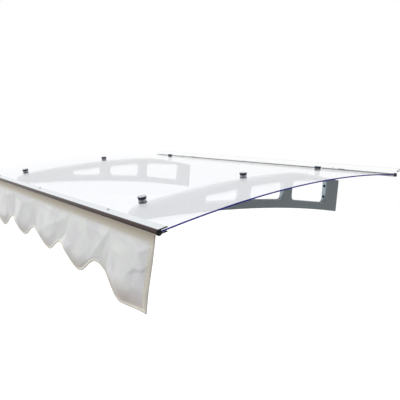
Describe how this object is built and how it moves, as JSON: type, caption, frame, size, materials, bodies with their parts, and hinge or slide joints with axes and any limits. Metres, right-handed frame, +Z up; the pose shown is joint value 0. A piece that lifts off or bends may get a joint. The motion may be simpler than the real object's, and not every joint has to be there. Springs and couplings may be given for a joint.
{
  "type": "door awning",
  "caption": "Curved clear polycarbonate door awning on arched wall arms, with aluminium edge rails, clamp caps and a scalloped cloth valance hanging from the front rail.",
  "frame": {"origin": "on the house wall at mid-width, in the middle of the wall seal's contact face", "axes": "+X to the right along the wall as seen from outside, +Y into the wall, so the awning reaches out along -Y, +Z up"},
  "size_m": [1.2056, 0.8528, 0.2858],
  "materials": {
    "sheet": "clear polycarbonate, glossy",
    "arms": "satin grey ABS",
    "caps": "polished dark chrome",
    "rails": "satin anodised",
    "end_caps": "moulded black plastic",
    "black_rubber": "matt black rubber",
    "grey_rubber": "matt grey rubber",
    "white_rubber": "matt white foam rubber",
    "steel": "turned stainless steel",
    "inserts": "plain brass",
    "cloth": "off-white woven polyester"
  },
  "bodies": {
    "root": {"roof_sheet": "sheet", "arm_left": "arms", "arm_right": "arms", "clamp_cap_rear_left": "caps", "clamp_cap_rear_right": "caps", "clamp_cap_middle_left": "caps", "clamp_cap_middle_right": "caps", "clamp_cap_front_left": "caps", "clamp_cap_front_right": "caps", "clamp_washer_rear_left": "black_rubber", "clamp_washer_rear_right": "black_rubber", "clamp_washer_middle_left": "black_rubber", "clamp_washer_middle_right": "black_rubber", "clamp_washer_front_left": "black_rubber", "clamp_washer_front_right": "black_rubber", "clamp_bolt_rear_left": "steel", "clamp_bolt_rear_right": "steel", "clamp_bolt_middle_left": "steel", "clamp_bolt_middle_right": "steel", "clamp_bolt_front_left": "steel", "clamp_bolt_front_right": "steel", "clamp_spacer_rear_left": "white_rubber", "clamp_spacer_rear_right": "white_rubber", "clamp_pad_middle_left": "black_rubber", "clamp_pad_middle_right": "black_rubber", "clamp_pad_front_left": "black_rubber", "clamp_pad_front_right": "black_rubber", "clamp_insert_rear_left": "inserts", "clamp_insert_rear_right": "inserts", "clamp_insert_middle_left": "inserts", "clamp_insert_middle_right": "inserts", "clamp_insert_front_left": "inserts", "clamp_insert_front_right": "inserts", "front_rail": "rails", "front_rail_screw_left": "steel", "front_rail_screw_middle": "steel", "front_rail_screw_right": "steel", "front_rail_cap_left": "end_caps", "front_rail_cap_right": "end_caps", "rear_rail": "rails", "rear_rail_screw_left": "steel", "rear_rail_screw_middle": "steel", "rear_rail_screw_right": "steel", "rear_rail_plug_left": "end_caps", "rear_rail_plug_right": "end_caps", "rear_gasket": "grey_rubber", "wall_seal": "white_rubber", "valance": "cloth", "valance_rod": "steel"}
  },
  "joints": []
}
